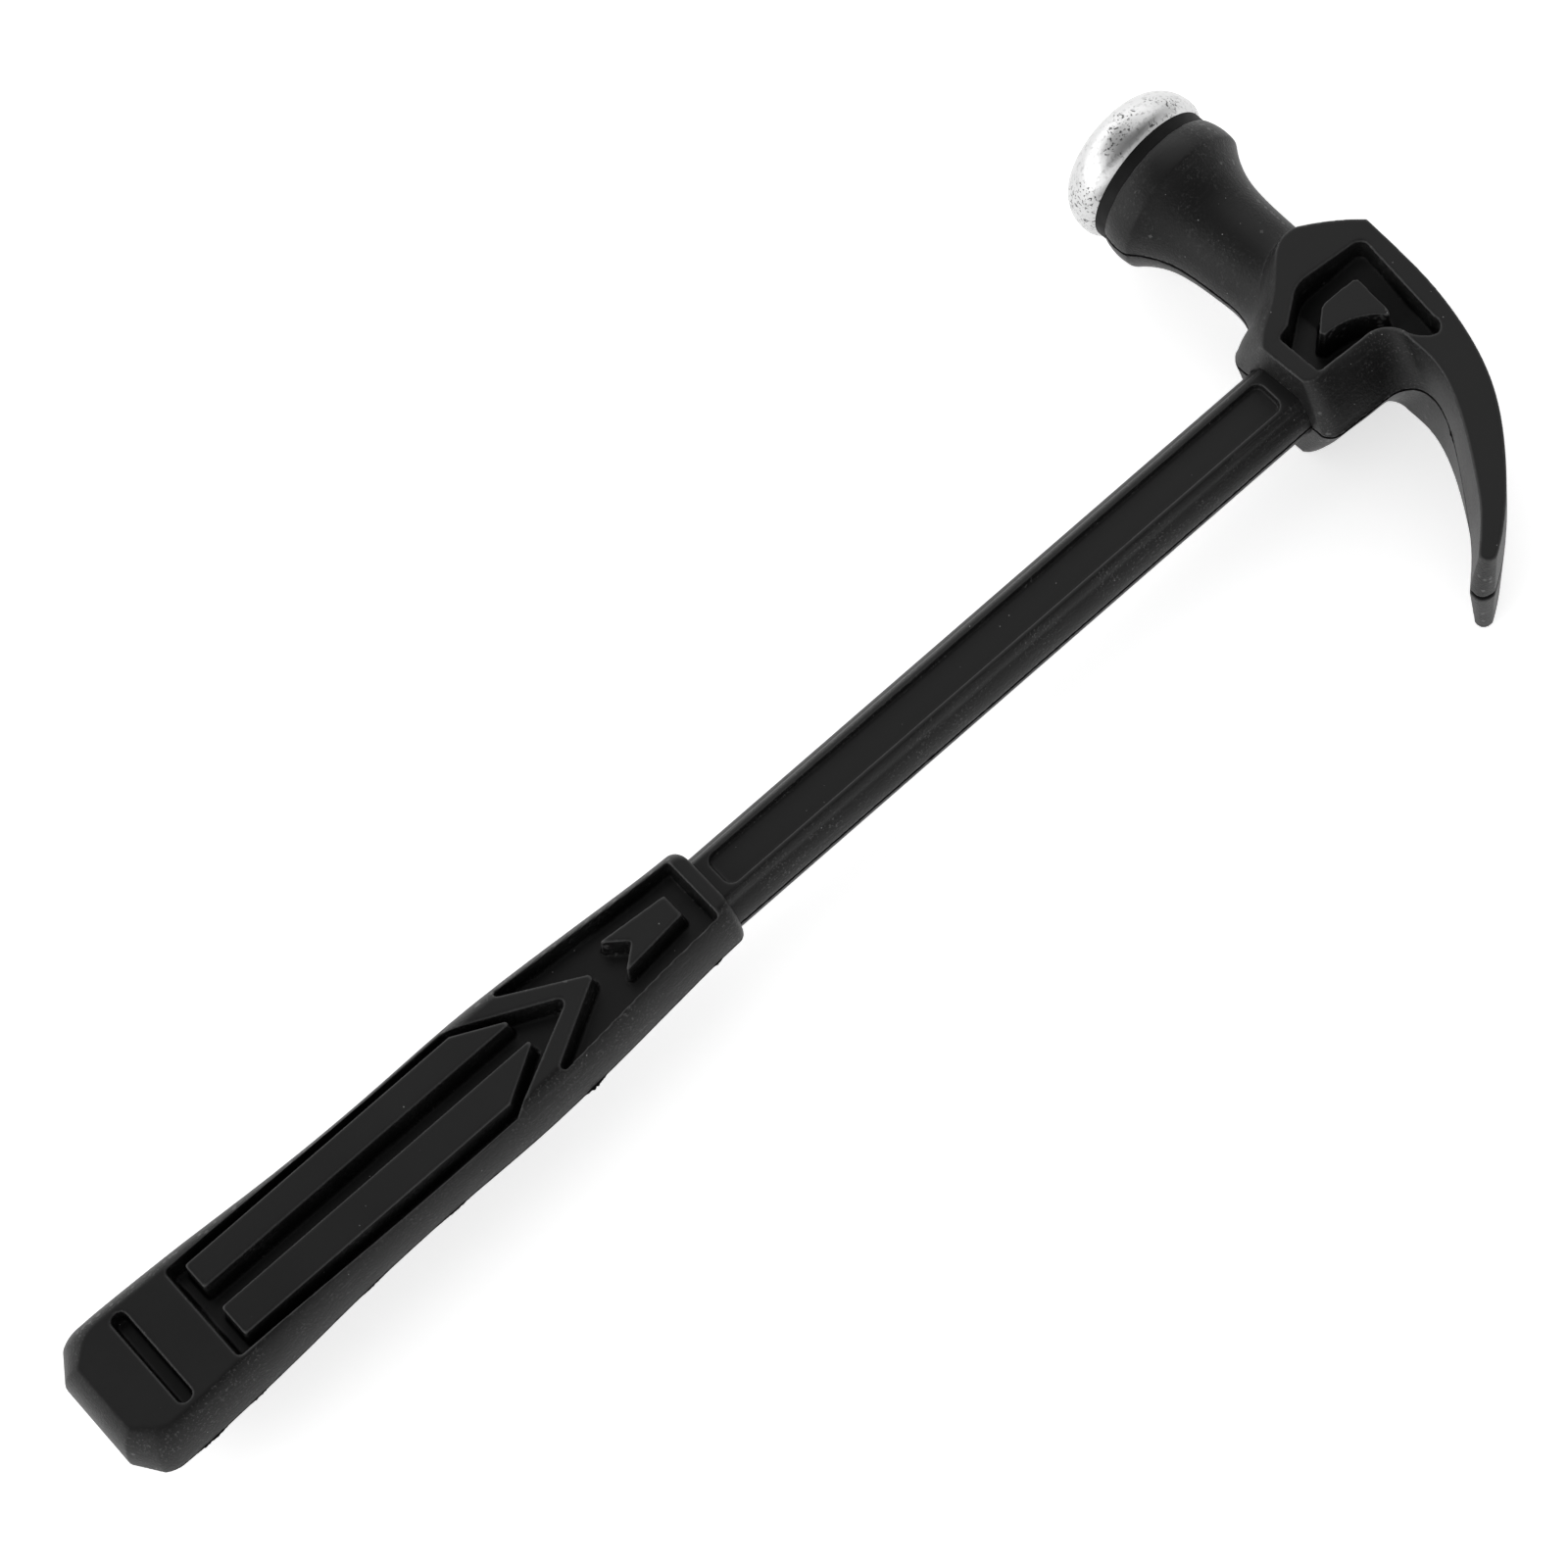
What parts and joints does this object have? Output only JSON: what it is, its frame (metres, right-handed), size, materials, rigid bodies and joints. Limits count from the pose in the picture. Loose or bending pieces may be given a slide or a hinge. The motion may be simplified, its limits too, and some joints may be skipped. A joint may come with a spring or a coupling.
{
  "type": "claw hammer",
  "caption": "Small claw hammer with a domed bright steel striking face, split nail claw and black moulded head, shaft and ribbed grip built as paired half shells over a steel core.",
  "frame": {"origin": "bottom centre of the bounding box, with the hammer lying on its side", "axes": "+X up the handle to the head, +Y out to the striking face, +Z across the thickness, up from the side it lies on"},
  "size_m": [0.2142, 0.0804, 0.021],
  "materials": {
    "polished_face": "polished with a slightly speckled rim",
    "dark_collar": "satin",
    "core_steel": "plain mill finish, hidden",
    "pin_steel": "plain ground finish, hidden",
    "peg_black": "matt, hidden",
    "head_black": "satin, fine spark-eroded grain on the round flanks",
    "shaft_black": "satin, fine spark-eroded grain on the shoulders",
    "grip_black": "satin, fine spark-eroded grain on the rounded land"
  },
  "bodies": {
    "root": {"striking_face": "polished_face", "face_collar": "dark_collar", "face_stud": "core_steel", "head_core": "core_steel", "claw_fork": "core_steel", "core_pins": "pin_steel", "core_rod": "core_steel", "head_pegs": "peg_black", "head_shell_front": "head_black", "head_shell_rear": "head_black", "shaft_shell_front": "shaft_black", "shaft_shell_rear": "shaft_black", "grip_shell_front": "grip_black", "grip_shell_rear": "grip_black", "grip_pegs": "peg_black", "tang_pins": "pin_steel"}
  },
  "joints": []
}
